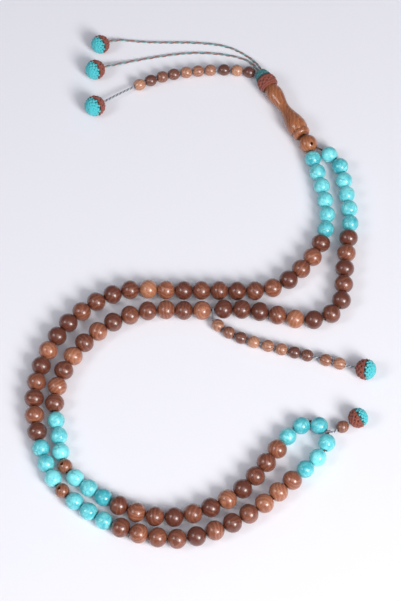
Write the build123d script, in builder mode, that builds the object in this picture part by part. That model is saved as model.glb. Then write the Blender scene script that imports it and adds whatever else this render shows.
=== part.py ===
# Misbaha: a string of prayer beads laid out in two side-by-side strands, with a turned
# leader piece, two tails and two counters of small beads. Millimetres, +Z up.
# Origin: the middle of the laid-out beads, on the surface that they rest on.
from build123d import *
from math import acos, cos, degrees, pi, radians, sin, sqrt, tan
import os

os.makedirs("parts", exist_ok=True)

# ---------------------------------------------------------------- driving dimensions
wood_width = 8.4  # across a wood bead
wood_length = 7.6  # along its bore
turquoise_width = 7.4
turquoise_length = 7.2
small_width = 5.4  # counter beads
small_length = 5.1
separator_width = 6.3
separator_length = 5.8
separator_room = 0.35  # bare cord each side of a separator
cross_hole = 1.5  # a separator's and the leader bead's second hole
separator_lean = 25  # degrees from upright, towards -X
leader_hole_lean = (0.37, -0.47, 0.8)  # which way the leader bead's spare hole faces
leader_bead_width = 8.4

cord_width = 0.9  # the cord that strings the loop
thread_width = 1.1  # tails and counter threads
bore_clearance = 0.5  # all round a cord in its bore
bore_chamfer = 0.15
bore_lip = 0.3  # flat ring round a bore's mouth, with its chamfer
hang = 0.25  # how far a bead's axis sits off its cord
face_gap = 0.05  # the least space between pieces that can touch

imame_length = 30.5  # the turned leader piece
imame_end_width = 6.4
imame_ring_width = 8.1
imame_groove_width = 7.1
imame_foot_width = 9.0
imame_waist_width = 4.9
imame_shoulder_width = 7.7
imame_neck_width = 5.6
imame_bore = 2.4
neck_cover = 0.8  # how far the collar comes down over the imame's neck
imame_gap = 0.5  # between the leader bead and the imame
imame_heading = 119.0  # degrees from +X, seen from above

collar_width = 9.4
collar_brown_length = 5.6
collar_turquoise_length = 4.0
collar_edge_width = 7.6  # at the brown part's two edges
collar_mouth_width = 5.6  # the far end, where the tails come out
collar_knot_cover = 1.2  # how far the knot inside reaches into the turquoise part

knot_wrap = 1.2  # thickness of the knotted cover on a ball
knot_seat = 1.0  # how far a thread goes into its ball
ball_clearance = 0.02
outer_tail_ball = 9.0
inner_tail_ball = 9.6
top_counter_ball = 10.0
second_counter_ball = 9.5
tassel_ball = 9.0

tie_width = 0.9  # the loops that tie a counter and the tassel to the cord
tie_room = 1.4  # what the counter's tie takes up between two beads
tassel_room = 2.2  # the tassel's tie, where the cord turns
swing_gap = 0.7  # between a swinging thread and what holds it
leader_slack = 2.6  # bare cord beside the leader bead

outer_wood_count = 24
inner_wood_first = 12  # from the inner separator up to the counter's tie
inner_wood_second = 12
middle_wood_count = 11
upper_turquoise_count = 6
end_turquoise_count = 3

# ---------------------------------------------------------------- the loop's route
# Corners of the cord's route for an 8.4 by 7.6 bead. It grows with the wood beads.
set_scale = max(wood_width / 8.4, wood_length / 7.6)
outer_strand = [
    (54.4, 46.5), (56.8, 29.0), (51.2, 12.0), (35.4, -4.0), (24.5, -6.8), (5.5, -6.1),
    (-13.5, -6.3), (-31.5, -5.0), (-46.0, -11.0), (-60.2, -23.5), (-69.2, -41.0),
    (-72.6, -60.0), (-68.2, -83.0),
]
outer_separator_bend = (-60.9, -100.0)
outer_separator_at = (-58.6, -101.3)
middle_outer_strand = [
    (-42.0, -114.6), (-26.5, -121.0), (-8.5, -124.0), (8.5, -118.5), (23.0, -110.0), (41.0, -94.0),
]
loop_end_first = [(52.6, -82.3), (53.9, -73.9)]
tassel_tie_at = (53.4, -74.3)
loop_end_second = [(47.0, -68.8), (39.3, -72.6)]
middle_inner_strand = [
    (18.0, -100.7), (5.5, -108.7), (-11.5, -114.3), (-28.5, -111.5), (-44.5, -102.4),
]
inner_separator_at = (-58.9, -90.7)
inner_strand = [
    (-60.3, -76.0), (-63.6, -62.0), (-61.2, -48.0), (-51.2, -31.0), (-36.5, -20.0), (-22.0, -15.4),
    (-2.0, -16.5), (14.0, -14.9), (30.0, -17.4), (42.5, -21.1), (54.3, -20.6), (61.8, -12.5),
    (62.6, 1.5), (64.4, 16.0), (66.9, 30.0), (64.5, 47.5), (62.9, 59.0), (57.4, 64.8),
]
leader_bead_at = (48.3, 69.3)
start_offset, finish_offset = (0.4, -1.7), (1.5, -0.8)  # the cord's ends inside the leader bead
easy_bend = 0.45  # share of the shorter run that an arc may use
tight_bend = 0.2  # at the loop's end, where the cord bends between two beads


# ---------------------------------------------------------------- the free cords' routes
# The outer and inner tails, from the collar to the ball.
outer_tail_route = [
    (27.7, 109.1, 4.3), (26.5, 113.4, 2.2), (21.9, 119.2, 0.6), (12.0, 125.4, 0.6),
    (-3.5, 127.2, 0.6), (-19.0, 127.1, 0.6), (-31.0, 127.7, 0.6), (-39.0, 129.0, 0.6),
    (-44.6, 125.6, 3.2),
]
inner_tail_route = [
    (26.6, 108.5, 4.3), (25.1, 112.6, 2.2), (20.6, 117.9, 0.6), (9.0, 120.9, 0.6),
    (-6.0, 121.5, 0.6), (-20.5, 119.2, 0.6), (-35.0, 116.1, 0.6), (-46.4, 111.4, 3.4),
]
top_counter_route = [
    (25.1, 107.8, 3.3), (20.4, 109.8, 2.8), (8.0, 110.7, 2.7), (-6.0, 109.4, 2.7),
    (-18.0, 107.0, 2.7), (-29.5, 102.0, 2.7), (-38.4, 97.1, 2.7), (-46.2, 91.7, 3.4),
]
second_counter_route = [
    (4.9, -20.4, 3.0), (8.6, -24.5, 2.7), (18.0, -29.5, 2.7), (34.5, -34.4, 2.7),
    (51.0, -38.7, 2.7), (67.2, -44.0, 3.6),
]
tassel_route = [(56.2, -73.8, 3.2), (60.1, -71.1, 2.8), (63.5, -69.4, 3.6)]
ball_headings = {
    "outer_tail": 221, "inner_tail": 219, "top_counter": 224, "second_counter": -17, "tassel": 26,
}
# Where the end of what each free cord hangs from stands in this layout: a cord moves with it.
collar_mouth_at = (26.944, 107.827)
hangs_at = {
    "outer_tail": collar_mouth_at, "inner_tail": collar_mouth_at, "top_counter": collar_mouth_at,
    "second_counter": (4.882, -15.811), "tassel": (53.527, -74.257),
}
# Where the middle of each counter bead rests, from the start of its thread.
top_counter_rest = [3.3, 9.1, 15.1, 21.5, 27.1, 32.7, 38.5, 44.0, 49.7, 55.4]
second_counter_rest = [3.3, 9.2, 15.0, 20.9, 27.3, 33.4, 39.2, 44.8, 53.2, 59.3]
tassel_rest = [4.4]


# ---------------------------------------------------------------- the string's geometry
def scaled(points):
    """Corners of the loop's route at the size of these beads, at the cord's height."""
    return [Vector(x * set_scale, y * set_scale, string_height) for x, y in points]


def bend_radii(points, shares):
    """The radius of the arc at each inner corner."""
    radii = []
    for before, corner, after, share in zip(points, points[1:], points[2:], shares):
        turn = radians((corner - before).get_angle(after - corner))
        radii.append(share * min((corner - before).length, (after - corner).length) / tan(turn / 2))
    return radii


def heading(angle):
    """Level unit vector at an angle from +X."""
    return Vector(cos(radians(angle)), sin(radians(angle)))


def resting_height(width):
    """Height of a bead's middle: on the surface, or hanging on the cord if it is small."""
    return max(width / 2, string_height - hang)


def along(path, distance):
    return path.position_at(distance, position_mode=PositionMode.LENGTH)


def distance_near(path, point):
    """How far along the path its nearest place to a point is."""
    nearest = path.distance_to_with_closest_points(point)[1]
    return path.param_at_point(nearest) * path.length


def seat(path, distance, length, height=None):
    """The plane of a bead on a path: its middle, with Z along its bore."""
    start, finish = along(path, distance - length / 2), along(path, distance + length / 2)
    middle = (start + finish) / 4 + along(path, distance) / 2
    if height is not None:
        middle = Vector(middle.X, middle.Y, height)
    return Plane(origin=middle, z_dir=finish - start)


def bend_room(path, first, second, reach, lip):
    """Extra cord that two neighbouring beads need where the cord bends between them."""
    start, finish = seat(path, first, reach), seat(path, second, reach)
    half_turn = radians(start.z_dir.get_angle(finish.z_dir)) / 2
    cut = (second - first) - (finish.origin - start.origin).length
    return cut + 2 * lip * sin(half_turn) - reach * (1 - cos(half_turn))


def spread(path, start, finish, kinds):
    """Even out the beads on a stretch of cord. Wood beads that the cord stops are left out."""
    kinds = list(kinds)
    room = finish - start
    while sum(takes[kind] for kind in kinds) + len(kinds) * face_gap > room:
        kinds.remove("wood")
    extra = [0.0] * (len(kinds) - 1)
    for _ in range(settling_passes):
        gap = (room - sum(takes[kind] for kind in kinds) - sum(extra)) / (len(kinds) + 1)
        middles, at = [], start + gap
        for kind, more in zip(kinds, extra + [0.0]):
            middles.append(at + takes[kind] / 2)
            at += takes[kind] + gap + more
        extra = [
            bend_room(path, first, second, min(takes["wood"], takes["turquoise"]), lip_radius)
            for first, second in zip(middles, middles[1:])
        ]
    print("gap", round(gap, 3), "between", len(kinds), "pieces")
    return {kind: [m for k, m in zip(kinds, middles) if k == kind] for kind in takes}


def cord_path(points, name):
    """Straight runs joined by tangent arcs, with the arcs as large as the runs allow."""
    corners = [Vector(*point) for point in points]
    radii = bend_radii(corners, [easy_bend] * (len(corners) - 2))
    with BuildLine() as line:
        FilletPolyline(*corners, radius=radii)
    path = line.wire()
    print(name, "length", round(path.length, 1), "bend radii", [round(radius, 1) for radius in radii])
    return path


settling_passes = 4
UPWARD = (Align.CENTER, Align.CENTER, Align.MIN)
takes = {
    "turquoise": turquoise_length, "wood": wood_length, "tie": tie_room, "slack": leader_slack,
}
bore_width = cord_width + 2 * bore_clearance
thread_bore = thread_width + 2 * bore_clearance
lip_radius = bore_width / 2 + bore_lip
thread_lip_radius = thread_bore / 2 + bore_lip
string_height = max(wood_width, turquoise_width, leader_bead_width) / 2 - hang

leader_bead_middle = Vector(*leader_bead_at) * set_scale
leader_bead_middle += Vector(0, 0, resting_height(leader_bead_width))
cord_start = [(leader_bead_at[0] + start_offset[0], leader_bead_at[1] + start_offset[1])]
cord_finish = [(leader_bead_at[0] + finish_offset[0], leader_bead_at[1] + finish_offset[1])]
tight_corners = scaled(loop_end_first + loop_end_second)
loop_corners = scaled(
    cord_start + outer_strand + [outer_separator_bend] + middle_outer_strand + loop_end_first
    + loop_end_second + middle_inner_strand + [inner_separator_at] + inner_strand + cord_finish
)
loop_shares = [tight_bend if corner in tight_corners else easy_bend for corner in loop_corners[1:-1]]
loop_radii = bend_radii(loop_corners, loop_shares)
with BuildLine() as loop_line:
    FilletPolyline(*loop_corners, radius=loop_radii)
loop_path = loop_line.wire()
print("loop length", round(loop_path.length, 1), "least bend radius", round(min(loop_radii), 2))

# Places along the loop: the leader bead, then each separator and the tassel's tie.
leader_reach = leader_bead_width / 2 - Vector(*start_offset).length * set_scale
outer_separator_stop = distance_near(loop_path, scaled([outer_separator_at])[0])
tassel_stop = distance_near(loop_path, scaled([tassel_tie_at])[0])
inner_separator_stop = distance_near(loop_path, scaled([inner_separator_at])[0])
separator_reach = separator_length / 2 + separator_room
outer_run = spread(
    loop_path, leader_reach, outer_separator_stop - separator_reach,
    ["turquoise"] * upper_turquoise_count + ["wood"] * outer_wood_count
    + ["turquoise"] * end_turquoise_count,
)
middle_kinds = (
    ["turquoise"] * end_turquoise_count + ["wood"] * middle_wood_count
    + ["turquoise"] * end_turquoise_count
)
middle_outer_run = spread(
    loop_path, outer_separator_stop + separator_reach, tassel_stop - tassel_room / 2, middle_kinds
)
middle_inner_run = spread(
    loop_path, tassel_stop + tassel_room / 2, inner_separator_stop - separator_reach, middle_kinds
)
inner_run = spread(
    loop_path, inner_separator_stop + separator_reach, loop_path.length - leader_reach,
    ["turquoise"] * end_turquoise_count + ["wood"] * inner_wood_first + ["tie"]
    + ["wood"] * inner_wood_second + ["turquoise"] * upper_turquoise_count + ["slack"],
)


# ---------------------------------------------------------------- bead shapes
def drilled(width, length, bore):
    """Outline of half a bead: a round back between two flat rings, open along its bore.

    The back of a bead that is wide for its length is part of a circle, else of an ellipse.
    """
    lip = bore / 2 + bore_lip
    tall = length / 2 / sqrt(1 - (lip / (width / 2)) ** 2)
    end = degrees(acos(lip / (width / 2)))
    with BuildSketch(Plane.XZ) as outline:
        with BuildLine():
            if tall < width / 2:
                back = ThreePointArc((lip, -length / 2), (width / 2, 0), (lip, length / 2))
            else:
                back = EllipticalCenterArc(
                    (0, 0), width / 2, tall, start_angle=-end, arc_size=2 * end
                )
            Polyline(
                back @ 1, (bore / 2 + bore_chamfer, length / 2),
                (bore / 2, length / 2 - bore_chamfer), (bore / 2, bore_chamfer - length / 2),
                (bore / 2 + bore_chamfer, -length / 2), back @ 0,
            )
        make_face()
    return outline.sketch


with BuildPart() as wood_bead:
    add(drilled(wood_width, wood_length, bore_width))
    revolve(axis=Axis.Z)

with BuildPart() as turquoise_bead:
    add(drilled(turquoise_width, turquoise_length, bore_width))
    revolve(axis=Axis.Z)

with BuildPart() as small_bead:
    add(drilled(small_width, small_length, thread_bore))
    revolve(axis=Axis.Z)

with BuildPart() as separator_bead:
    add(drilled(separator_width, separator_length, bore_width))
    revolve(axis=Axis.Z)


def finish(piece, name):
    """Label a piece and write its file."""
    piece.part.label = name
    export_step(piece.part, f"parts/{name}.step")


def bead_row(bead, width, length, middles, name):
    """One node: copies of a bead at their places along the loop."""
    places = [seat(loop_path, middle, length, resting_height(width)) for middle in middles]
    with BuildPart() as row:
        with Locations(*places):
            add(bead.part)
    finish(row, name)


# ---------------------------------------------------------------- the loop of beads
for run_name, run in {
    "outer": outer_run, "inner": inner_run, "middle_outer": middle_outer_run,
    "middle_inner": middle_inner_run,
}.items():
    bead_row(wood_bead, wood_width, wood_length, run["wood"], run_name + "_wood_beads")
    bead_row(
        turquoise_bead, turquoise_width, turquoise_length, run["turquoise"],
        run_name + "_turquoise_beads",
    )

for separator_name, stop in {
    "outer_separator": outer_separator_stop, "inner_separator": inner_separator_stop,
}.items():
    place = seat(loop_path, stop, separator_length, resting_height(separator_width))
    lean = Vector(-sin(radians(separator_lean)), 0, cos(radians(separator_lean)))
    with BuildPart() as separator:
        with Locations(place):
            add(separator_bead.part)
        with Locations(Plane(origin=place.origin, z_dir=lean)):
            Cylinder(cross_hole / 2, separator_width, align=UPWARD, mode=Mode.SUBTRACT)
    finish(separator, separator_name)

with BuildPart() as main_cord:
    with BuildSketch(Plane(origin=loop_path @ 0, z_dir=loop_path % 0)):
        Circle(cord_width / 2)
    sweep(path=loop_path)
finish(main_cord, "main_cord")

# The leader bead: a bore for each strand's cord, one towards the leader piece and a spare.
leader_bores = {
    "imame": heading(imame_heading), "outer": loop_path % 0, "inner": -(loop_path % 1),
}
with BuildPart() as leader_bead:
    with Locations(leader_bead_middle):
        Sphere(leader_bead_width / 2)
    for direction in leader_bores.values():
        with Locations(Plane(origin=leader_bead_middle, z_dir=direction)):
            Cylinder(bore_width / 2, leader_bead_width, align=UPWARD, mode=Mode.SUBTRACT)
    with Locations(Plane(origin=leader_bead_middle, z_dir=leader_hole_lean)):
        Cylinder(cross_hole / 2, leader_bead_width, align=UPWARD, mode=Mode.SUBTRACT)
finish(leader_bead, "leader_bead")


def tie(stop, thread_start, name):
    """A loop of thread round the main cord between two beads, with its stem to a thread."""
    middle = along(loop_path, stop)
    outward = (thread_start - middle).normalized()
    ring = cord_width / 2 + tie_width / 2 + ball_clearance
    with BuildPart() as loop:
        with Locations(Plane(origin=middle, z_dir=loop_path.tangent_at(stop / loop_path.length))):
            Torus(ring, tie_width / 2)
        with BuildSketch(Plane(origin=middle + outward * ring, z_dir=outward)):
            Circle(tie_width / 2)
        extrude(amount=(thread_start - middle).length - swing_gap - ring)
    finish(loop, name)


# ---------------------------------------------------------------- the leader piece
imame_axis = heading(imame_heading)
imame_foot = leader_bead_middle + imame_axis * (leader_bead_width / 2 + imame_gap)
imame_foot = Vector(imame_foot.X, imame_foot.Y, collar_width / 2)


def turned_plane(distance):
    """Plane through the imame's axis: X runs along the axis, Y is the radius."""
    start = imame_foot + imame_axis * distance
    return Plane(origin=start, x_dir=imame_axis, z_dir=imame_axis.cross(Vector(0, 0, 1)))


ring_at, groove_at, groove_half = 1.2, 2.4, 0.45  # from the imame's foot end
ring_roundness = 0.2
foot_at = 4.4
waist_at = 0.57 * imame_length
shoulder_at = 0.85 * imame_length
neck_at = imame_length - neck_cover - face_gap
with BuildPart() as imame:
    with BuildSketch(turned_plane(0)):
        with BuildLine():
            Polyline(
                (imame_length, imame_neck_width / 2), (imame_length, imame_bore / 2),
                (0, imame_bore / 2), (0, imame_end_width / 2),
            )
            ThreePointArc(
                (0, imame_end_width / 2), (ring_at / 2, imame_ring_width / 2 - ring_roundness),
                (ring_at, imame_ring_width / 2),
            )
            Line((ring_at, imame_ring_width / 2), (groove_at - groove_half, imame_ring_width / 2))
            ThreePointArc(
                (groove_at - groove_half, imame_ring_width / 2), (groove_at, imame_groove_width / 2),
                (groove_at + groove_half, imame_ring_width / 2),
            )
            Spline(
                (groove_at + groove_half, imame_ring_width / 2), (foot_at, imame_foot_width / 2),
                (waist_at, imame_waist_width / 2), (shoulder_at, imame_shoulder_width / 2),
                (neck_at, imame_neck_width / 2),
            )
            Line((neck_at, imame_neck_width / 2), (imame_length, imame_neck_width / 2))
        make_face()
    revolve(axis=Axis(imame_foot, imame_axis))
finish(imame, "imame")

# The cord's two ends run side by side through the imame to the knot in its collar.
end_offset = cord_width / 2 + ball_clearance
with BuildPart() as leader_cord:
    with BuildSketch(Plane(origin=imame_foot - imame_axis * imame_gap / 2, z_dir=imame_axis)):
        with Locations((end_offset, 0), (-end_offset, 0)):
            Circle(cord_width / 2)
    extrude(amount=imame_length + imame_gap / 2 - face_gap)
finish(leader_cord, "leader_cord")


# ---------------------------------------------------------------- the collar's knot
collar_wall_start = imame_neck_width / 2 + face_gap
brown_start = imame_length - neck_cover
brown_end = brown_start + collar_brown_length
cap_start = brown_end + face_gap
cap_end = cap_start + collar_turquoise_length
core_end = cap_start + collar_knot_cover
cap_shoulder = 0.35  # how far the turquoise part's shoulder lies inside the brown part's edge
knot_end_radius = 0.6

with BuildPart() as brown_collar:
    with BuildSketch(turned_plane(0)):
        with BuildLine():
            Polyline(
                (brown_start, collar_edge_width / 2), (brown_start, collar_wall_start),
                (brown_end, collar_wall_start), (brown_end, collar_edge_width / 2),
            )
            ThreePointArc(
                (brown_start, collar_edge_width / 2), ((brown_start + brown_end) / 2, collar_width / 2),
                (brown_end, collar_edge_width / 2),
            )
        make_face()
    revolve(axis=Axis(imame_foot, imame_axis))
finish(brown_collar, "brown_collar")

with BuildPart() as turquoise_collar:
    with BuildSketch(turned_plane(0)):
        with BuildLine():
            Polyline(
                (cap_start, collar_edge_width / 2), (cap_start, collar_wall_start),
                (core_end, collar_wall_start), (core_end, 0), (cap_end, 0),
                (cap_end, collar_mouth_width / 2),
            )
            ThreePointArc(
                (cap_end, collar_mouth_width / 2),
                (cap_end - collar_turquoise_length / 3, collar_edge_width / 2 - cap_shoulder),
                (cap_start, collar_edge_width / 2),
            )
        make_face()
    revolve(axis=Axis(imame_foot, imame_axis))
finish(turquoise_collar, "turquoise_collar")

with BuildPart() as collar_knot:
    with BuildSketch(turned_plane(0)):
        with Locations(((imame_length + core_end) / 2, imame_neck_width / 4)):
            RectangleRounded(
                core_end - imame_length - 2 * face_gap, imame_neck_width / 2 - ball_clearance,
                knot_end_radius,
            )
        with Locations(((imame_length + core_end) / 2, 0)):
            Rectangle(
                core_end - imame_length, imame_neck_width, align=(Align.CENTER, Align.MAX),
                mode=Mode.SUBTRACT,
            )
    revolve(axis=Axis(imame_foot, imame_axis))
finish(collar_knot, "collar_knot")


# ---------------------------------------------------------------- threads, balls and counters
def knotted_ball(width, thread_end, ball_heading, name):
    """A wooden ball in a knotted cover: brown where the thread goes in, turquoise beyond."""
    radius = width / 2
    reach = radius - knot_seat
    drop = radius - thread_end.Z
    level = heading(ball_heading) * sqrt(reach**2 - drop**2)
    middle = thread_end + level + Vector(0, 0, drop)
    axis = middle - thread_end
    core_radius = radius - knot_wrap
    seam = Plane(origin=middle, z_dir=axis)
    with BuildPart() as core:
        with Locations(seam):
            Sphere(core_radius - ball_clearance)
    finish(core, name + "_ball_core")
    for half, side in {"brown": -1, "turquoise": 1}.items():
        cut = Plane(origin=middle + axis.normalized() * side * ball_clearance, z_dir=axis * side)
        with BuildPart() as cover:
            with Locations(seam):
                Sphere(radius)
                Sphere(core_radius, mode=Mode.SUBTRACT)
                if half == "brown":
                    Cylinder(
                        thread_bore / 2, width, mode=Mode.SUBTRACT,
                        align=(Align.CENTER, Align.CENTER, Align.MAX),
                    )
            split(bisect_by=cut, keep=Keep.TOP)
        finish(cover, f"{name}_ball_{half}_half")


def thread(path, name):
    with BuildPart() as cord:
        with BuildSketch(Plane(origin=path @ 0, z_dir=path % 0)):
            Circle(thread_width / 2)
        sweep(path=path)
    finish(cord, name)
    section = pi * thread_width**2 / 4
    print(name, "volume over section times length", round(cord.part.volume / path.length / section, 4))


def counter_beads(path, rest, name):
    """The small beads of a counter, each free to slide. One that meets the ball is left out."""
    last = -small_length
    for number, wanted in enumerate(rest, start=1):
        room = 0
        if number > 1:
            room = bend_room(path, last, wanted, small_length, thread_lip_radius)
        at = max(wanted, last + small_length + face_gap + room)
        if at + small_length / 2 > path.length - knot_seat:
            break
        with BuildPart() as bead:
            with Locations(seat(path, at, small_length)):
                add(small_bead.part)
        finish(bead, f"{name}_{number}" if len(rest) > 1 else name)
        last = at


routes = {
    "outer_tail": (outer_tail_route, "outer_tail_cord", outer_tail_ball),
    "inner_tail": (inner_tail_route, "inner_tail_cord", inner_tail_ball),
    "top_counter": (top_counter_route, "top_counter_thread", top_counter_ball),
    "second_counter": (second_counter_route, "second_counter_thread", second_counter_ball),
    "tassel": (tassel_route, "tassel_thread", tassel_ball),
}
collar_mouth = imame_foot + imame_axis * cap_end
hangs_from = {
    "outer_tail": collar_mouth, "inner_tail": collar_mouth, "top_counter": collar_mouth,
    "second_counter": along(loop_path, inner_run["tie"][0]), "tassel": along(loop_path, tassel_stop),
}
paths = {}
for name, (route, cord_name, ball_width) in routes.items():
    shift = hangs_from[name] - Vector(*hangs_at[name])
    moved = [(x + shift.X, y + shift.Y, z) for x, y, z in route]
    paths[name] = cord_path(moved, cord_name)
    thread(paths[name], cord_name)
    knotted_ball(ball_width, paths[name] @ 1, ball_headings[name], name)
counter_beads(paths["top_counter"], top_counter_rest, "top_counter_bead")
counter_beads(paths["second_counter"], second_counter_rest, "second_counter_bead")
counter_beads(paths["tassel"], tassel_rest, "tassel_bead")

tie(inner_run["tie"][0], paths["second_counter"] @ 0, "second_counter_tie")
tie(tassel_stop, paths["tassel"] @ 0, "tassel_tie")
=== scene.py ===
# Misbaha prayer beads: the looks of a string of wood and turquoise beads. Metres, +Z up.
from math import cos, pi, radians, sin, sqrt, tau
from random import Random
import bmesh
import bpy
import numpy as np
from mathutils import Euler, Matrix, Vector


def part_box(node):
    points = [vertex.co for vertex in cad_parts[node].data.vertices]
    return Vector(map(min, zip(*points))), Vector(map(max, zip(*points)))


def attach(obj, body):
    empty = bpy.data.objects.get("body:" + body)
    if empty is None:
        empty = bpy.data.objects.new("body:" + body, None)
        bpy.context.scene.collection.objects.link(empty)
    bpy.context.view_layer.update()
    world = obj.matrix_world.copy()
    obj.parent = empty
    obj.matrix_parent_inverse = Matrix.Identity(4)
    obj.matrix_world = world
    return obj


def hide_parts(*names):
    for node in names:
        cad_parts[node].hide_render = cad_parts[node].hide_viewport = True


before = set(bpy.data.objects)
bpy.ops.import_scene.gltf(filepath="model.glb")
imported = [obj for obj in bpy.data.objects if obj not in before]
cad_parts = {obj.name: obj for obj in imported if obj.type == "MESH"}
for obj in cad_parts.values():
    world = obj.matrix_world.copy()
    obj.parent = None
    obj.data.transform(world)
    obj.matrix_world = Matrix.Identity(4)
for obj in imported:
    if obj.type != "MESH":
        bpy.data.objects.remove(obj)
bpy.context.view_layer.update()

MM = 0.001
UP = Vector((0, 0, 1))


# ---------------------------------------------------------------- camera
camera_data = bpy.data.cameras.new("camera")
camera_data.lens = 203.5
camera_data.sensor_width = 36
camera_data.sensor_fit = "HORIZONTAL"
camera = bpy.data.objects.new("camera", camera_data)
bpy.context.collection.objects.link(camera)
camera.location = (-0.0005, -0.4759, 0.8800)
camera_aim = Vector((-0.0005, -0.0090, 0))
camera.rotation_euler = (camera_aim - camera.location).to_track_quat("-Z", "Y").to_euler()
bpy.context.scene.camera = camera


# ---------------------------------------------------------------- the free threads' routes
# The same points as the part's routes, in millimetres, from the exit to the ball.
ROUTES = {
    "outer_tail_cord": [
        (27.7, 109.1, 4.3), (26.5, 113.4, 2.2), (21.9, 119.2, 0.6), (12.0, 125.4, 0.6),
        (-3.5, 127.2, 0.6), (-19.0, 127.1, 0.6), (-31.0, 127.7, 0.6), (-39.0, 129.0, 0.6),
        (-44.6, 125.6, 3.2),
    ],
    "inner_tail_cord": [
        (26.6, 108.5, 4.3), (25.1, 112.6, 2.2), (20.6, 117.9, 0.6), (9.0, 120.9, 0.6),
        (-6.0, 121.5, 0.6), (-20.5, 119.2, 0.6), (-35.0, 116.1, 0.6), (-46.4, 111.4, 3.4),
    ],
    "top_counter_thread": [
        (25.1, 107.8, 3.3), (20.4, 109.8, 2.8), (8.0, 110.7, 2.7), (-6.0, 109.4, 2.7),
        (-18.0, 107.0, 2.7), (-29.5, 102.0, 2.7), (-38.4, 97.1, 2.7), (-46.2, 91.7, 3.4),
    ],
    "second_counter_thread": [
        (4.9, -20.4, 3.0), (8.6, -24.5, 2.7), (18.0, -29.5, 2.7), (34.5, -34.4, 2.7),
        (51.0, -38.7, 2.7), (67.2, -44.0, 3.6),
    ],
    "tassel_thread": [(56.2, -73.8, 3.2), (60.1, -71.1, 2.8), (63.5, -69.4, 3.6)],
}
THREAD_WIDTH = 1.1 * MM
TAIL_TWIST, COUNTER_TWIST = 5.2 * MM, 1.9 * MM  # the length of one turn of the plies
INNER_TAIL_TWIST, INNER_TAIL_START = 6.0 * MM, 1.4
KNOT_WRAP = 1.2 * MM  # thickness of the knotted cover of a ball
CORD_BORE, CORD_LIP = 1.9 * MM, 1.25 * MM  # a strand bead's bore, and the radius of its mouth's ring
THREAD_BORE, THREAD_LIP = 2.1 * MM, 1.35 * MM  # the same for a counter bead


# ---------------------------------------------------------------- modelling helpers
def deselect_all():
    if bpy.context.object and bpy.context.object.mode != "OBJECT":
        bpy.ops.object.mode_set(mode="OBJECT")
    bpy.ops.object.select_all(action="DESELECT")


def select_only(*pieces):
    deselect_all()
    for piece in pieces:
        piece.select_set(True)
    bpy.context.view_layer.objects.active = pieces[0]


def start_edit(kind):
    """Edit mode with nothing selected."""
    bpy.ops.object.mode_set(mode="EDIT")
    bpy.ops.mesh.select_mode(type=kind)
    bpy.ops.mesh.select_all(action="DESELECT")


def pick(piece, kind, wanted):
    """Select the vertices, edges or faces that a test wants, by place."""
    mesh = bmesh.from_edit_mesh(piece.data)
    for part in {"VERT": mesh.verts, "EDGE": mesh.edges, "FACE": mesh.faces}[kind]:
        part.select_set(bool(wanted(part)))
    mesh.select_flush_mode()
    bmesh.update_edit_mesh(piece.data)


def joined(pieces, name):
    """Several meshes made one piece."""
    select_only(*pieces)
    if len(pieces) > 1:
        bpy.ops.object.join()
    piece = bpy.context.object
    piece.name = piece.data.name = name
    return piece


def smooth(piece, angle=40):
    select_only(piece)
    bpy.ops.object.shade_smooth_by_angle(angle=radians(angle))


def frame_to(middle, along, spin=0.0):
    """Where a piece modelled at the origin along Z goes: its middle, and its Z axis."""
    turn = Vector(along).to_track_quat("Z", "Y").to_matrix().to_4x4()
    return Matrix.Translation(middle) @ turn @ Matrix.Rotation(spin, 4, "Z")


def solids_of(node):
    """Middle and turning axis of each solid in a node, found on a merged copy of its mesh."""
    mesh = bmesh.new()
    mesh.from_mesh(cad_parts[node].data)
    bmesh.ops.remove_doubles(mesh, verts=mesh.verts, dist=0.001 * MM)
    todo = set(mesh.verts)
    found = []
    for first in mesh.verts:
        if first not in todo:
            continue
        todo.remove(first)
        island, queue = [], [first]
        while queue:
            vert = queue.pop()
            island.append(vert)
            for edge in vert.link_edges:
                other = edge.other_vert(vert)
                if other in todo:
                    todo.remove(other)
                    queue.append(other)
        found.append(turned_axis(island))
    mesh.free()
    return found


def turned_axis(verts):
    """The middle of a turned piece and the axis that its faces are spread evenly round."""
    faces = {face for vert in verts for face in vert.link_faces}
    weights = np.array([face.calc_area() for face in faces])
    centres = np.array([face.calc_center_median() for face in faces])
    normals = np.array([face.normal for face in faces])
    middle = np.average(centres, axis=0, weights=weights)
    sizes, axes = np.linalg.eigh((normals * weights[:, None]).T @ normals)
    odd_one = 0 if sizes[1] - sizes[0] > sizes[2] - sizes[1] else 2
    return Vector(middle), Vector(axes[:, odd_one])


# ---------------------------------------------------------------- shader building
def new_group(name, inputs, outputs):
    """An empty node group with named sockets, and its two end nodes."""
    group = bpy.data.node_groups.new(name, "ShaderNodeTree")
    for label, kind, value in inputs:
        socket = group.interface.new_socket(label, in_out="INPUT", socket_type=f"NodeSocket{kind}")
        if value is not None:
            socket.default_value = value
    for label, kind in outputs:
        group.interface.new_socket(label, in_out="OUTPUT", socket_type=f"NodeSocket{kind}")
    return group, group.nodes.new("NodeGroupInput").outputs, group.nodes.new("NodeGroupOutput").inputs


def put(tree, kind, settings=None, **sockets):
    """Add a node. Sockets are given by name, with a value or with another node's output."""
    node = tree.nodes.new(kind)
    for setting, value in (settings or {}).items():
        setattr(node, setting, value)
    for label, value in sockets.items():
        socket = node.inputs[int(label[1:])] if label[0] == "_" else node.inputs[label.replace("_", " ")]
        if isinstance(value, bpy.types.NodeSocket):
            tree.links.new(value, socket)
        else:
            socket.default_value = value
    return node


def maths(tree, operation, *values):
    settings = {"operation": operation, "use_clamp": False}
    return put(tree, "ShaderNodeMath", settings, **{f"_{i}": v for i, v in enumerate(values)}).outputs[0]


def mixed(tree, share, first, second):
    settings = {"data_type": "RGBA", "blend_type": "MIX"}
    return put(tree, "ShaderNodeMix", settings, _0=share, _6=first, _7=second).outputs[2]


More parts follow.
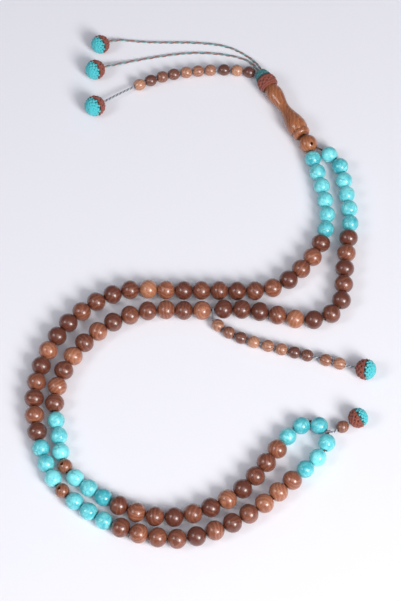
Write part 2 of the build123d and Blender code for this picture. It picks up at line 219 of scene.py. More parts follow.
def ramped(tree, value, *stops):
    """A colour ramp's output. Each stop is a place and a grey level."""
    ramp = put(tree, "ShaderNodeValToRGB", Fac=value)
    while len(ramp.color_ramp.elements) < len(stops):
        ramp.color_ramp.elements.new(0.5)
    for element, (place, level) in zip(ramp.color_ramp.elements, stops):
        element.position = place
        element.color = (level, level, level, 1)
    return ramp.outputs["Color"]


def noise(tree, place, scale, detail=3.0, roughness=0.5):
    return put(
        tree, "ShaderNodeTexNoise", Vector=place, Scale=scale, Detail=detail, Roughness=roughness
    ).outputs["Fac"]


def turned_wood_group():
    """Growth rings, fine pores and a slow change of tone. Place is in millimetres."""
    group, given, out = new_group("turned wood", [
        ("Place", "Vector", None), ("Tone", "Float", 0.5), ("Ring spacing", "Float", 1.6),
        ("Dark", "Color", (0.1, 0.04, 0.02, 1)), ("Middle", "Color", (0.3, 0.13, 0.07, 1)),
        ("Light", "Color", (0.6, 0.32, 0.18, 1)),
    ], [("Color", "Color"), ("Roughness", "Float"), ("Height", "Float")])
    wander = put(group, "ShaderNodeTexNoise", Vector=given["Place"], Scale=0.16, Detail=2.0)
    bent = put(
        group, "ShaderNodeVectorMath", {"operation": "MULTIPLY_ADD"},
        _0=wander.outputs["Color"], _1=(3.5, 3.5, 1.0), _2=given["Place"],
    ).outputs[0]
    apart = put(group, "ShaderNodeSeparateXYZ", Vector=bent)
    rings = maths(group, "DIVIDE", apart.outputs["X"], given["Ring spacing"])
    saw = maths(group, "FRACT", rings)
    ring_line = ramped(group, saw, (0.0, 0.15), (0.5, 0.35), (0.86, 0.95), (1.0, 0.2))
    along = put(group, "ShaderNodeMapping", Vector=bent, Scale=(2.6, 2.6, 0.32)).outputs[0]
    fibres = noise(group, along, 1.3, 4.0, 0.6)
    pores_at = put(group, "ShaderNodeMapping", Vector=bent, Scale=(6.5, 6.5, 0.7)).outputs[0]
    specks = noise(group, pores_at, 1.0, 2.0)
    pores = ramped(group, specks, (0.0, 1.0), (0.36, 0.75), (0.44, 0.0), (1.0, 0.0))
    slow = noise(group, given["Place"], 0.11, 1.0)
    level = maths(group, "MULTIPLY_ADD", ring_line, 0.30, maths(group, "MULTIPLY", fibres, 0.55))
    level = maths(group, "ADD", level, maths(group, "MULTIPLY", slow, 0.35))
    level = maths(group, "ADD", level, maths(group, "SUBTRACT", given["Tone"], 0.98))
    darker = ramped(group, level, (0.0, 0.0), (0.42, 1.0))
    lighter = ramped(group, level, (0.34, 0.0), (0.95, 1.0))
    body = mixed(group, lighter, mixed(group, darker, given["Dark"], given["Middle"]), given["Light"])
    pored = mixed(group, maths(group, "MULTIPLY", pores, 0.5), body, given["Dark"])
    group.links.new(pored, out["Color"])
    rough = maths(group, "MULTIPLY_ADD", pores, 0.22, maths(group, "MULTIPLY_ADD", fibres, 0.12, 0.22))
    group.links.new(rough, out["Roughness"])
    height = maths(group, "SUBTRACT", maths(group, "MULTIPLY", fibres, 0.35), pores)
    group.links.new(height, out["Height"])
    return group


def veined_stone_group():
    """Clouded stone with broken darker veins. Place is in millimetres."""
    group, given, out = new_group("veined stone", [
        ("Place", "Vector", None), ("Tone", "Float", 0.5),
        ("Pale", "Color", (0.35, 0.8, 0.82, 1)), ("Deep", "Color", (0.06, 0.45, 0.55, 1)),
        ("Vein", "Color", (0.03, 0.2, 0.22, 1)),
    ], [("Color", "Color"), ("Roughness", "Float"), ("Height", "Float")])
    clouds = noise(group, given["Place"], 0.3, 6.0, 0.68)
    cloud_level = maths(group, "ADD", clouds, maths(group, "MULTIPLY_ADD", given["Tone"], 0.5, -0.25))
    body = mixed(
        group, ramped(group, cloud_level, (0.34, 0.0), (0.62, 1.0)), given["Deep"], given["Pale"],
    )
    wander = put(group, "ShaderNodeTexNoise", Vector=given["Place"], Scale=0.35, Detail=3.0)
    bent = put(
        group, "ShaderNodeVectorMath", {"operation": "MULTIPLY_ADD"},
        _0=wander.outputs["Color"], _1=(2.2, 2.2, 2.2), _2=given["Place"],
    ).outputs[0]
    cracks = put(
        group, "ShaderNodeTexVoronoi", {"feature": "DISTANCE_TO_EDGE"}, Vector=bent, Scale=0.19,
    ).outputs["Distance"]
    veins = ramped(group, cracks, (0.0, 1.0), (0.018, 0.75), (0.05, 0.0), (1.0, 0.0))
    broken = ramped(group, noise(group, given["Place"], 0.3, 2.0), (0.46, 0.0), (0.6, 1.0))
    veins = maths(group, "MULTIPLY", veins, broken)
    veined = mixed(group, maths(group, "MULTIPLY", veins, 0.62), body, given["Vein"])
    group.links.new(veined, out["Color"])
    group.links.new(maths(group, "MULTIPLY_ADD", veins, 0.25, 0.2), out["Roughness"])
    group.links.new(maths(group, "MULTIPLY", veins, -1.0), out["Height"])
    return group


def spun_thread_group():
    """Fine fibres that run round a thread at a slant. Thread is metres along it and turns round it."""
    group, given, out = new_group("spun thread", [
        ("Thread", "Vector", None), ("Place", "Vector", None), ("Fibres per turn", "Float", 7.0),
        ("Slant per mm", "Float", 0.9), ("Color", "Color", (0.3, 0.3, 0.3, 1)),
        ("Shadow", "Color", (0.05, 0.05, 0.05, 1)),
    ], [("Color", "Color"), ("Roughness", "Float"), ("Height", "Float")])
    apart = put(group, "ShaderNodeSeparateXYZ", Vector=given["Thread"])
    run = maths(group, "MULTIPLY", apart.outputs["X"], given["Slant per mm"])
    turns = maths(group, "ADD", apart.outputs["Y"], run)
    fibre_count = maths(group, "MULTIPLY", turns, given["Fibres per turn"])
    wave = maths(group, "SINE", maths(group, "MULTIPLY", fibre_count, tau))
    fibre = maths(group, "MULTIPLY_ADD", wave, 0.5, 0.5)
    fuzz = noise(group, given["Place"], 3.2, 3.0, 0.65)
    level = maths(group, "MULTIPLY_ADD", fibre, 0.55, maths(group, "MULTIPLY", fuzz, 0.6))
    body = mixed(group, ramped(group, level, (0.12, 0.0), (0.62, 1.0)), given["Shadow"], given["Color"])
    group.links.new(body, out["Color"])
    group.links.new(maths(group, "MULTIPLY_ADD", fuzz, 0.25, 0.6), out["Roughness"])
    group.links.new(level, out["Height"])
    return group


WOOD = turned_wood_group()
STONE = veined_stone_group()
THREAD = spun_thread_group()


def new_material(name):
    """A material with a Principled shader, its node tree and that shader."""
    material = bpy.data.materials.new(name)
    material.use_nodes = True
    shader = next(node for node in material.node_tree.nodes if node.type == "BSDF_PRINCIPLED")
    return material, material.node_tree, shader


def dressed(tree, shader, pattern, bump, bump_distance):
    """Link a pattern's outputs to the shader, its height through a bump."""
    tree.links.new(pattern.outputs["Color"], shader.inputs["Base Color"])
    tree.links.new(pattern.outputs["Roughness"], shader.inputs["Roughness"])
    height = pattern.outputs["Height"]
    raised = put(tree, "ShaderNodeBump", Strength=bump, Distance=bump_distance, Height=height)
    tree.links.new(raised.outputs["Normal"], shader.inputs["Normal"])


def own_place(tree):
    """Each bead's own coordinates in millimetres, and its own tone, as bead_row() stores them."""
    place = put(tree, "ShaderNodeAttribute", {"attribute_name": "bead_place"}).outputs["Vector"]
    tone = put(tree, "ShaderNodeAttribute", {"attribute_name": "bead_tone"}).outputs["Fac"]
    return place, tone


def object_place(tree, turn=(0, 0, 0)):
    """Object coordinates in millimetres, turned to a piece."""
    where = put(tree, "ShaderNodeTexCoord").outputs["Object"]
    return put(
        tree, "ShaderNodeMapping", {"vector_type": "POINT"}, Vector=where,
        Rotation=turn, Scale=(1 / MM, 1 / MM, 1 / MM),
    ).outputs[0]


def wood_material(
    name, dark, middle, light, ring_spacing=1.6, own=True, turn=(0, 0, 0), tone=0.5, coat=0.55,
):
    """Turned wood. With own, each bead has its own grain and tone; else one block of wood does."""
    material, tree, shader = new_material(name)
    if own:
        place, tone = own_place(tree)
    else:
        place = object_place(tree, turn=turn)
    pattern = put(
        tree, "ShaderNodeGroup", {"node_tree": WOOD}, Place=place, Tone=tone,
        Ring_spacing=ring_spacing, Dark=(*dark, 1), Middle=(*middle, 1), Light=(*light, 1),
    )
    dressed(tree, shader, pattern, 0.25, 0.05 * MM)
    shader.inputs["Coat Weight"].default_value = coat
    shader.inputs["Coat Roughness"].default_value = 0.2
    return material


def stone_material(name, pale, deep, vein):
    """Polished stone, with each bead's own clouds and veins."""
    material, tree, shader = new_material(name)
    place, tone = own_place(tree)
    pattern = put(
        tree, "ShaderNodeGroup", {"node_tree": STONE}, Place=place, Tone=tone,
        Pale=(*pale, 1), Deep=(*deep, 1), Vein=(*vein, 1),
    )
    dressed(tree, shader, pattern, 0.3, 0.04 * MM)
    shader.inputs["Coat Weight"].default_value = 0.3
    shader.inputs["Coat Roughness"].default_value = 0.3
    return material


def thread_material(name, colour, shadow):
    """Spun thread with a soft sheen."""
    material, tree, shader = new_material(name)
    run = put(tree, "ShaderNodeAttribute", {"attribute_name": "thread_run"}).outputs["Vector"]
    pattern = put(
        tree, "ShaderNodeGroup", {"node_tree": THREAD}, Thread=run, Place=object_place(tree),
        Color=(*colour, 1), Shadow=(*shadow, 1),
    )
    dressed(tree, shader, pattern, 0.5, 0.04 * MM)
    shader.inputs["Sheen Weight"].default_value = 0.25
    shader.inputs["Sheen Roughness"].default_value = 0.5
    return material


BEAD_WOOD = wood_material(
    "polished bead wood", (0.12, 0.032, 0.018), (0.31, 0.104, 0.054), (0.62, 0.28, 0.15),
)
COUNTER_WOOD = wood_material(
    "counter bead wood", (0.12, 0.04, 0.028), (0.32, 0.13, 0.078), (0.78, 0.42, 0.25), ring_spacing=1.2,
)
LEADER_WOOD = wood_material(
    "leader wood", (0.24, 0.075, 0.03), (0.50, 0.185, 0.075), (0.72, 0.36, 0.19), ring_spacing=1.5,
    own=False, turn=(radians(90), 0, radians(29)), tone=0.55, coat=0.5,
)
SEPARATOR_WOOD = wood_material(
    "separator wood", (0.16, 0.05, 0.025), (0.37, 0.135, 0.065), (0.58, 0.27, 0.15),
    ring_spacing=1.2, own=False, tone=0.62,
)
CORE_WOOD = wood_material(
    "core wood", (0.1, 0.04, 0.02), (0.3, 0.14, 0.08), (0.5, 0.28, 0.16), own=False, coat=0.0,
)
TURQUOISE = stone_material("turquoise", (0.23, 0.77, 0.81), (0.045, 0.39, 0.46), (0.015, 0.14, 0.16))
BROWN_THREAD = thread_material("red-brown thread", (0.30, 0.066, 0.038), (0.05, 0.01, 0.008))
CAP_THREAD = thread_material("dark teal thread", (0.05, 0.24, 0.25), (0.01, 0.06, 0.065))
TURQUOISE_THREAD = thread_material("turquoise thread", (0.075, 0.62, 0.68), (0.008, 0.12, 0.14))
# Dark seam thread, and the painted shade of the dark shells under the weaves.
SEAM_THREAD_AND_SHADE = thread_material("dark seam thread and painted shade", (0.03, 0.05, 0.05), (0.008, 0.012, 0.012))
TAIL_BROWN = thread_material("tail brown thread", (0.32, 0.115, 0.095), (0.09, 0.03, 0.026))
TAIL_TURQUOISE = thread_material("tail turquoise thread", (0.19, 0.40, 0.41), (0.04, 0.13, 0.13))
COUNTER_DARK = thread_material("counter thread dark", (0.17, 0.18, 0.21), (0.05, 0.05, 0.06))
COUNTER_LIGHT = thread_material("counter thread light", (0.50, 0.53, 0.58), (0.16, 0.17, 0.2))
STRING = thread_material("bead string", (0.10, 0.055, 0.035), (0.02, 0.012, 0.01))


# ---------------------------------------------------------------- beads
def bead_blank(name, width, length, bore, lip, segments, rings):
    """A barrel bead at the origin, bored along Z, with a softened flat ring round each mouth."""
    deselect_all()
    bpy.ops.mesh.primitive_uv_sphere_add(segments=segments, ring_count=rings, radius=width / 2)
    bead = bpy.context.object
    bead.name = name
    tall = length / 2 / sqrt(1 - (lip / (width / 2)) ** 2)
    start_edit("VERT")
    bpy.ops.mesh.select_all(action="SELECT")
    bpy.ops.transform.resize(value=(1, 1, tall / (width / 2)))
    for side in (1, -1):
        bpy.ops.mesh.select_all(action="SELECT")
        bpy.ops.mesh.bisect(
            plane_co=(0, 0, side * length / 2), plane_no=(0, 0, side), clear_outer=True, use_fill=False
        )
    # Each open mouth is drawn in to the bore, and the two are joined by the bore's wall.
    bpy.ops.mesh.select_mode(type="EDGE")
    for side in (1, -1):
        bpy.ops.mesh.select_all(action="DESELECT")
        pick(bead, "EDGE", lambda edge: edge.is_boundary and edge.verts[0].co.z * side > 0)
        bpy.ops.mesh.extrude_region_move(
            TRANSFORM_OT_translate={"value": (0, 0, -side * 0.02 * length)}
        )
        bpy.ops.transform.resize(
            value=(bore / 2 / lip, bore / 2 / lip, 1), center_override=(0, 0, side * length / 2)
        )
    bpy.ops.mesh.select_all(action="DESELECT")
    pick(bead, "EDGE", lambda edge: edge.is_boundary)
    bpy.ops.mesh.bridge_edge_loops()
    bpy.ops.mesh.select_all(action="DESELECT")
    pick(bead, "EDGE", lambda edge: lip_edge(edge, lip))
    bpy.ops.mesh.bevel(offset=0.018 * length, segments=2, profile=0.6, affect="EDGES")
    bpy.ops.mesh.select_all(action="SELECT")
    bpy.ops.mesh.normals_make_consistent(inside=False)
    bpy.ops.object.mode_set(mode="OBJECT")
    smooth(bead, 50)
    return bead


def lip_edge(edge, lip):
    """True for the ring of edges round a bead's mouth."""
    first, second = (vert.co for vert in edge.verts)
    level = abs(first.z - second.z) < 0.001 * MM
    return level and all(abs(vert.to_2d().length - lip) < 0.02 * MM for vert in (first, second))


def placed_copy(blank, name, place, tone, random):
    """One bead's own mesh at its place, with its own coordinates for grain and its own tone."""
    mesh = blank.data.copy()
    grain = Euler((random.uniform(0, tau), random.uniform(0, tau), random.uniform(0, tau))).to_matrix()
    shift = Vector([random.uniform(-400, 400) for _ in range(3)])
    mesh.attributes.new("bead_place", "FLOAT_VECTOR", "POINT")
    mesh.attributes.new("bead_tone", "FLOAT", "POINT")
    places, tones = (mesh.attributes[kept].data for kept in ("bead_place", "bead_tone"))
    for vert, where, level in zip(mesh.vertices, places, tones):
        where.vector = grain @ vert.co / MM + shift
        level.value = tone
    mesh.transform(place)
    piece = bpy.data.objects.new(name, mesh)
    bpy.context.collection.objects.link(piece)
    return piece


def bead_row(node, blank, material, tones, seed, body="loop"):
    """All the beads of one node as one piece, each where the node has it."""
    random = Random(seed)
    copies = []
    for number, (middle, axis) in enumerate(solids_of(node)):
        tone = tones.get(number, random.gauss(0.5, 0.13))
        place = frame_to(middle, axis, random.uniform(0, tau))
        copies.append(placed_copy(blank, f"{node}_{number}", place, tone, random))
    row = joined(copies, "turned_" + node)
    row.data.materials.clear()
    row.data.materials.append(material)
    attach(row, body)
    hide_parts(node)
    return row


wood_blank = bead_blank("wood bead", 8.4 * MM, 7.6 * MM, CORD_BORE, CORD_LIP, 40, 24)
turquoise_blank = bead_blank("turquoise bead", 7.4 * MM, 7.2 * MM, CORD_BORE, CORD_LIP, 36, 22)
small_blank = bead_blank("small bead", 5.4 * MM, 5.1 * MM, THREAD_BORE, THREAD_LIP, 32, 18)

# The few beads that stand out in a row, by their place from the row's start.
STANDING_OUT = {
    "outer_wood_beads": {2: 0.72, 11: 0.78, 12: 0.98, 17: 0.32, 18: 0.28, 19: 0.8, 20: 0.34},
    "inner_wood_beads": {18: 0.3, 17: 0.9, 13: 0.36, 12: 0.8, 4: 0.82},
    "middle_outer_wood_beads": {0: 0.72, 5: 0.3, 9: 0.84, 10: 0.84},
    "middle_inner_wood_beads": {8: 0.34, 6: 0.34, 5: 0.84, 4: 0.3, 10: 0.72},
}
for seed, run in enumerate(("outer", "inner", "middle_outer", "middle_inner")):
    node = run + "_wood_beads"
    bead_row(node, wood_blank, BEAD_WOOD, STANDING_OUT[node], 10 + seed)
    bead_row(run + "_turquoise_beads", turquoise_blank, TURQUOISE, {}, 20 + seed)

# How light each counter bead is, from the start of its thread.
counter_tones = {
    "top_counter": [0.2, 0.92, 0.36, 0.78, 0.84, 0.88, 0.5, 0.64, 0.46, 0.9],
    "second_counter": [0.86, 0.62, 0.55, 0.86, 0.86, 0.84, 0.36, 0.5, 0.76, 0.82],
}
for counter, tones in counter_tones.items():
    for number, tone in enumerate(tones, start=1):
        node = f"{counter}_bead_{number}"
        bead_row(node, small_blank, COUNTER_WOOD, {0: tone}, 40 + number, body=node)
bead_row("tassel_bead", small_blank, COUNTER_WOOD, {0: 0.66}, 60, body="tassel_bead")
for blank in (wood_blank, turquoise_blank, small_blank):
    bpy.data.objects.remove(blank)


# ---------------------------------------------------------------- threads
def route_line(points):
    """The smooth line through a route: a NURBS spline, as points close together."""
    curve = bpy.data.curves.new("route", "CURVE")
    curve.dimensions = "3D"
    curve.resolution_u = 30
    spline = curve.splines.new("NURBS")
    spline.points.add(len(points) - 1)
    for spot, point in zip(spline.points, points):
        spot.co = (*(Vector(point) * MM), 1)
    spline.order_u = 3
    spline.use_endpoint_u = True
    holder = bpy.data.objects.new("route", curve)
    bpy.context.collection.objects.link(holder)
    mesh = bpy.data.meshes.new_from_object(holder)
    line = [vert.co.copy() for vert in mesh.vertices]
    bpy.data.objects.remove(holder)
    return line


def evenly(line, step):
    """Points on a line at even steps, with how far along each is."""
    lengths = [0.0]
    for first, second in zip(line, line[1:]):
        lengths.append(lengths[-1] + (second - first).length)
    count = max(2, round(lengths[-1] / step))
    stops = np.linspace(0, lengths[-1], count + 1)
    points = np.array(line)
    spread = [np.interp(stops, lengths, points[:, axis]) for axis in range(3)]
    return [Vector(point) for point in zip(*spread)], [float(stop) for stop in stops]


def tube(name, centres, width, material, sides=8, closed=False, tip=True):
    """A round thread along its centre points, with its run in metres kept for the fibre pattern."""
    mesh = bmesh.new()
    run_layer = mesh.verts.layers.float_vector.new("thread_run")
    rings, run = [], 0.0
    count = len(centres)
    previous = None
    for number, centre in enumerate(centres):
        before = centres[number - 1] if number or closed else centres[0]
        after = centres[(number + 1) % count] if number + 1 < count or closed else centres[-1]
        ahead = (after - before).normalized()
        if previous is None:
            across = ahead.orthogonal().normalized()
        else:
            across = (previous - ahead * previous.dot(ahead)).normalized()
        previous = across
        other = ahead.cross(across)
        if number:
            run += (centre - centres[number - 1]).length
        ring = []
        for side in range(sides):
            angle = tau * side / sides
            vert = mesh.verts.new(centre + (across * cos(angle) + other * sin(angle)) * (width / 2))
            vert[run_layer] = (run / MM, side / sides, 0)
            ring.append(vert)
        rings.append(ring)
    pairs = list(zip(rings, rings[1:])) + ([(rings[-1], rings[0])] if closed else [])
    for first, second in pairs:
        shift = 0
        if closed and first is rings[-1]:
            shift = min(range(sides), key=lambda s: (first[0].co - second[s].co).length)
        for side in range(sides):
            following = (side + 1) % sides
            mesh.faces.new((
                first[side], first[following],
                second[(following + shift) % sides], second[(side + shift) % sides],
            ))
    if not closed:
        for ring, ahead in ((rings[0], centres[0] - centres[1]), (rings[-1], centres[-1] - centres[-2])):
            end = sum((vert.co for vert in ring), Vector()) / sides
            peak = mesh.verts.new(end + ahead.normalized() * (width * 0.3 if tip else 0))
            peak[run_layer] = ring[0][run_layer]
            for side in range(sides):
                mesh.faces.new((ring[side], ring[(side + 1) % sides], peak))
    bmesh.ops.recalc_face_normals(mesh, faces=mesh.faces)
    data = bpy.data.meshes.new(name)
    mesh.to_mesh(data)
    mesh.free()
    data.materials.append(material)
    data.shade_smooth()
    piece = bpy.data.objects.new(name, data)
    bpy.context.collection.objects.link(piece)
    return piece


def twisted(name, line, width, pitch, materials, body, start=0.0):
    """Plies wound round a line, one for each material."""
    plies = len(materials)
    ply_width = width * 0.53
    centres, runs = evenly(line, pitch / 14)
    strands = []
    for ply, material in enumerate(materials):
        path = []
        for number, (centre, run) in enumerate(zip(centres, runs)):
            after = centres[min(number + 1, len(centres) - 1)]
            ahead = (after - centres[max(number - 1, 0)]).normalized()
            side = ahead.cross(UP).normalized()
            top = side.cross(ahead)
            angle = start + tau * (run / pitch + ply / plies)
            path.append(centre + (side * cos(angle) + top * sin(angle)) * (width - ply_width) / 2)
        strands.append(tube(f"{name} ply {ply}", path, ply_width, material))
    piece = joined(strands, name)
    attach(piece, body)
    return piece


lines = {node: route_line(points) for node, points in ROUTES.items()}
cords = {
    "outer_tail_cord": twisted(
        "outer_tail_twist", lines["outer_tail_cord"], THREAD_WIDTH, TAIL_TWIST,
        [TAIL_BROWN, TAIL_TURQUOISE], "outer_tail",
    ),
    "inner_tail_cord": twisted(
        "inner_tail_twist", lines["inner_tail_cord"], THREAD_WIDTH, INNER_TAIL_TWIST,
        [TAIL_BROWN, TAIL_TURQUOISE], "tails", start=INNER_TAIL_START,
    ),
    "top_counter_thread": twisted(
        "top_counter_twist", lines["top_counter_thread"], THREAD_WIDTH, COUNTER_TWIST,
        [COUNTER_DARK, COUNTER_LIGHT], "top_counter",
    ),
    "second_counter_thread": twisted(
        "second_counter_twist", lines["second_counter_thread"], THREAD_WIDTH, COUNTER_TWIST,
        [COUNTER_DARK, COUNTER_LIGHT], "second_counter",
    ),
    "tassel_thread": twisted(
        "tassel_twist", lines["tassel_thread"], THREAD_WIDTH, COUNTER_TWIST,
        [COUNTER_DARK, COUNTER_LIGHT], "tassel",
    ),
}
for node, cord in cords.items():
    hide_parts(node)


# ---------------------------------------------------------------- knotted covers
def woven(name, meridian, start, axis, width, strands, crossings, material, lift):
    """Threads that wind both ways round an axis and pass over and under each other.

    meridian(t) gives the distance along the axis and the distance from it, for t from 0 to 1.
    """
    across = Vector(axis).orthogonal().normalized()
    other = Vector(axis).cross(across)
    samples = crossings * 4
    pieces = []
    for way in (1, -1):
        for strand in range(strands):
            path = []
            for sample in range(samples + 1):
                share = sample / samples
                crossed = share * crossings
                turn = tau * strand / strands + way * pi * crossed / strands
                reach, radius = meridian(share)
                radius += way * lift * cos(pi * crossed)
                outward = across * cos(turn) + other * sin(turn)
                path.append(start + axis * reach + outward * radius)
            pieces.append(tube(f"{name} {way} {strand}", path, width, material, sides=6, tip=False))
    return joined(pieces, name)


def painted_shade_shell(name, meridian, start, axis, material, steps=16, sides=36):
    """Painted shade in a weave's gaps: a close dark shell under the cover, turned from its own outline.
    """
    across = Vector(axis).orthogonal().normalized()
    other = Vector(axis).cross(across)
    mesh = bmesh.new()
    rings = []
    for step in range(steps + 1):
        reach, radius = meridian(step / steps)
        rings.append([
            mesh.verts.new(
                start + axis * reach
                + (across * cos(tau * side / sides) + other * sin(tau * side / sides)) * radius
            )
            for side in range(sides)
        ])
    for first, second in zip(rings, rings[1:]):
        for side in range(sides):
            following = (side + 1) % sides
            mesh.faces.new((first[side], first[following], second[following], second[side]))
    for ring in (rings[0], rings[-1]):
        mesh.faces.new(ring)
    bmesh.ops.recalc_face_normals(mesh, faces=mesh.faces)
    data = bpy.data.meshes.new(name)
    mesh.to_mesh(data)
    mesh.free()
    data.materials.append(material)
    data.shade_smooth()
    piece = bpy.data.objects.new(name, data)
    bpy.context.collection.objects.link(piece)
    return piece


def ring_thread(name, middle, axis, radius, width, material):
    """A thread that runs once round an axis."""
    across = Vector(axis).orthogonal().normalized()
    other = Vector(axis).cross(across)
    path = [
        middle + (across * cos(tau * step / 48) + other * sin(tau * step / 48)) * radius
        for step in range(48)
    ]
    return tube(name, path, width, material, sides=6, closed=True)


# Shares of a ball's radius.
SEAM_SHIFT = 0.16  # how far the seam sits towards the turquoise side
EDGE_REACH = 0.13  # from the seam to the thread that edges each half
BALL_STRAND, BALL_LIFT, BALL_EDGE = 0.235, 0.055, 0.17
MOUTH_CLEAR, CROWN_CLEAR, SEAM_CLEAR = 0.30, 0.12, 0.10  # angles that the weave leaves open


def ball(name, body, thread_end):
    """The knotted cover of a ball: brown where the thread goes in, turquoise beyond the seam."""
    core_low, core_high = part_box(name + "_ball_core")
    middle = (core_low + core_high) / 2
    outer = (core_high.z - core_low.z) / 2 + KNOT_WRAP
    axis = (middle - thread_end).normalized()
    strand = BALL_STRAND * outer
    lift = BALL_LIFT * outer
    reach = outer - strand / 2 - lift
    for half, side, material in (("brown", -1, BROWN_THREAD), ("turquoise", 1, TURQUOISE_THREAD)):
        first_angle = MOUTH_CLEAR if half == "brown" else CROWN_CLEAR
        last_angle = pi / 2 - SEAM_CLEAR - side * SEAM_SHIFT

        def meridian(share, radius=reach):
            angle = first_angle + (last_angle - first_angle) * share
            return side * radius * cos(angle), radius * sin(angle)

        cover = woven(f"{name}_{half}_weave", meridian, middle, axis, strand, 10, 5, material, lift)
        # A dark shell under the weave: painted shade in the gaps between the threads.
        under = painted_shade_shell(
            f"{name}_{half}_lining", lambda share: meridian(share, reach - 0.3 * strand),
            middle, axis, SEAM_THREAD_AND_SHADE,
        )
        edge_at = side * EDGE_REACH + SEAM_SHIFT
        edge = ring_thread(
            f"{name}_{half}_edge", middle + axis * edge_at * outer, axis,
            (reach + 0.02 * outer) * sqrt(1 - edge_at ** 2), BALL_EDGE * outer,
            SEAM_THREAD_AND_SHADE if half == "turquoise" else material,
        )
        parts = [cover, under, edge]
        if half == "brown":
            parts.append(ring_thread(
                f"{name}_mouth", middle - axis * (outer - 0.6 * strand), axis, 0.75 * MM,
                0.6 * strand, material,
            ))
        half_cover = joined(parts, f"{name}_ball_{half}_cover")
        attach(half_cover, body)
        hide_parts(f"{name}_ball_{half}_half")


for name, body, cord in (
    ("outer_tail", "outer_tail", "outer_tail_cord"), ("inner_tail", "tails", "inner_tail_cord"),
    ("top_counter", "top_counter", "top_counter_thread"),
    ("second_counter", "second_counter", "second_counter_thread"),
    ("tassel", "tassel", "tassel_thread"),
):
    ball(name, body, lines[cord][-1])


# ---------------------------------------------------------------- the knotted collar
BROWN_LENGTH, CAP_LENGTH = 5.6 * MM, 4.0 * MM
EDGE_RADIUS, COLLAR_RADIUS, MOUTH_RADIUS = 3.8 * MM, 4.7 * MM, 2.8 * MM
EDGE_THREAD = 0.7 * MM  # the threads round the collar's edges and its mouth


def box_middle(node):
    low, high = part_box(node)
    return (low + high) / 2


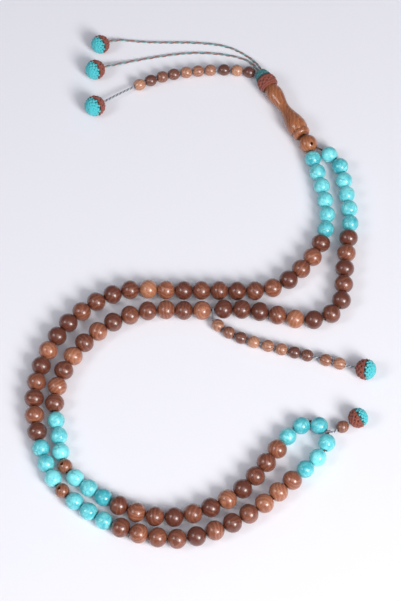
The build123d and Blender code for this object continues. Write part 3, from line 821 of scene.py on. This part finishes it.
def collar():
    """A barrel of brown threads over the leader piece's neck, then a dark teal cap for the tails."""
    middle = box_middle("brown_collar")
    axis = middle - box_middle("leader_bead")
    axis = Vector((axis.x, axis.y, 0)).normalized()
    strand, lift = 1.15 * MM, 0.22 * MM
    inset = strand / 2 + lift

    def brown(share, sink=0.0):
        bulge = 1 - (2 * share - 1) ** 2
        return (
            (share - 0.5) * (BROWN_LENGTH - strand),
            EDGE_RADIUS + (COLLAR_RADIUS - EDGE_RADIUS) * bulge - inset - sink,
        )

    def cap(share, sink=0.0):
        reach = BROWN_LENGTH / 2 + strand / 2 + (CAP_LENGTH - strand) * share
        return reach, EDGE_RADIUS - (EDGE_RADIUS - MOUTH_RADIUS) * share ** 1.6 - inset - sink

    sink = 0.4 * strand
    parts = [
        woven("brown_collar_weave", brown, middle, axis, strand, 9, 5, BROWN_THREAD, lift),
        # dark shell under the brown weave: painted shade between its threads
        painted_shade_shell("brown_collar_lining", lambda share: brown(share, sink), middle, axis, SEAM_THREAD_AND_SHADE),
    ]
    for side in (-1, 1):
        for step, radius in ((0.5, EDGE_RADIUS - EDGE_THREAD / 2), (0.36, EDGE_RADIUS + 0.25 * MM)):
            place = middle + axis * side * (step * BROWN_LENGTH - EDGE_THREAD / 2)
            parts.append(
                ring_thread("brown_collar_edge", place, axis, radius, EDGE_THREAD, BROWN_THREAD)
            )
    band = joined(parts, "collar_brown_band")
    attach(band, "leader")
    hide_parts("brown_collar")
    parts = [
        woven("turquoise_collar_weave", cap, middle, axis, strand, 8, 4, CAP_THREAD, lift),
        # dark shell under the teal weave: painted shade between its threads
        painted_shade_shell("turquoise_collar_lining", lambda share: cap(share, sink), middle, axis, SEAM_THREAD_AND_SHADE),
    ]
    end = middle + axis * (BROWN_LENGTH / 2 + CAP_LENGTH - EDGE_THREAD / 2)
    for radius in (2.35 * MM, 1.65 * MM, 0.95 * MM):
        parts.append(ring_thread("mouth_ring", end, axis, radius, EDGE_THREAD, CAP_THREAD))
    parts.append(ring_thread(
        "seam_ring", middle + axis * (BROWN_LENGTH / 2 + 0.3 * MM), axis,
        EDGE_RADIUS - EDGE_THREAD / 2, EDGE_THREAD, SEAM_THREAD_AND_SHADE,
    ))
    knotted_cap = joined(parts, "collar_turquoise_cap")
    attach(knotted_cap, "leader")
    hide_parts("turquoise_collar")


collar()


# ---------------------------------------------------------------- pieces that keep their CAD shape
def finish_node(node, material):
    """Give a piece its material in every slot."""
    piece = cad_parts[node]
    piece.data.materials.clear()
    piece.data.materials.append(material)
    for slot in piece.material_slots:
        slot.material = material


for node in ("leader_bead", "imame"):
    finish_node(node, LEADER_WOOD)
for node in ("outer_separator", "inner_separator"):
    finish_node(node, SEPARATOR_WOOD)
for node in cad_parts:
    if node.endswith("_ball_core"):
        finish_node(node, CORE_WOOD)
for node in ("main_cord", "leader_cord", "collar_knot"):
    finish_node(node, STRING)
for node in ("second_counter_tie", "tassel_tie"):
    finish_node(node, COUNTER_DARK)


# ---------------------------------------------------------------- floor and lights
deselect_all()
bpy.ops.mesh.primitive_plane_add(size=6)
floor = bpy.context.object
floor.name = "floor"
floor_material, floor_tree, floor_shader = new_material("pale paper")
floor_shader.inputs["Base Color"].default_value = (0.83, 0.825, 0.88, 1)
floor_shader.inputs["Roughness"].default_value = 0.6
floor.data.materials.append(floor_material)


def soft_light(name, place, size, power, colour):
    """A round soft light that faces the beads."""
    light = bpy.data.lights.new(name, "AREA")
    light.shape = "DISK"
    light.size = size
    light.energy = power
    light.color = colour
    lamp = bpy.data.objects.new(name, light)
    bpy.context.collection.objects.link(lamp)
    lamp.location = place
    lamp.rotation_euler = (-Vector(place)).to_track_quat("-Z", "Y").to_euler()


soft_light("key", (0.7, -0.86, 0.8), 0.55, 17, (1.0, 0.985, 0.965))
soft_light("side", (-0.85, -0.35, 0.9), 0.5, 4, (0.96, 0.98, 1.0))
soft_light("front", (0.25, -0.75, 1.3), 1.2, 6, (1.0, 1.0, 1.0))
bpy.context.scene.view_settings.view_transform = "Standard"
world = bpy.data.worlds.new("studio")
world.use_nodes = True
world.node_tree.nodes["Background"].inputs["Color"].default_value = (0.86, 0.88, 1.0, 1)
world.node_tree.nodes["Background"].inputs["Strength"].default_value = 0.22
bpy.context.scene.world = world
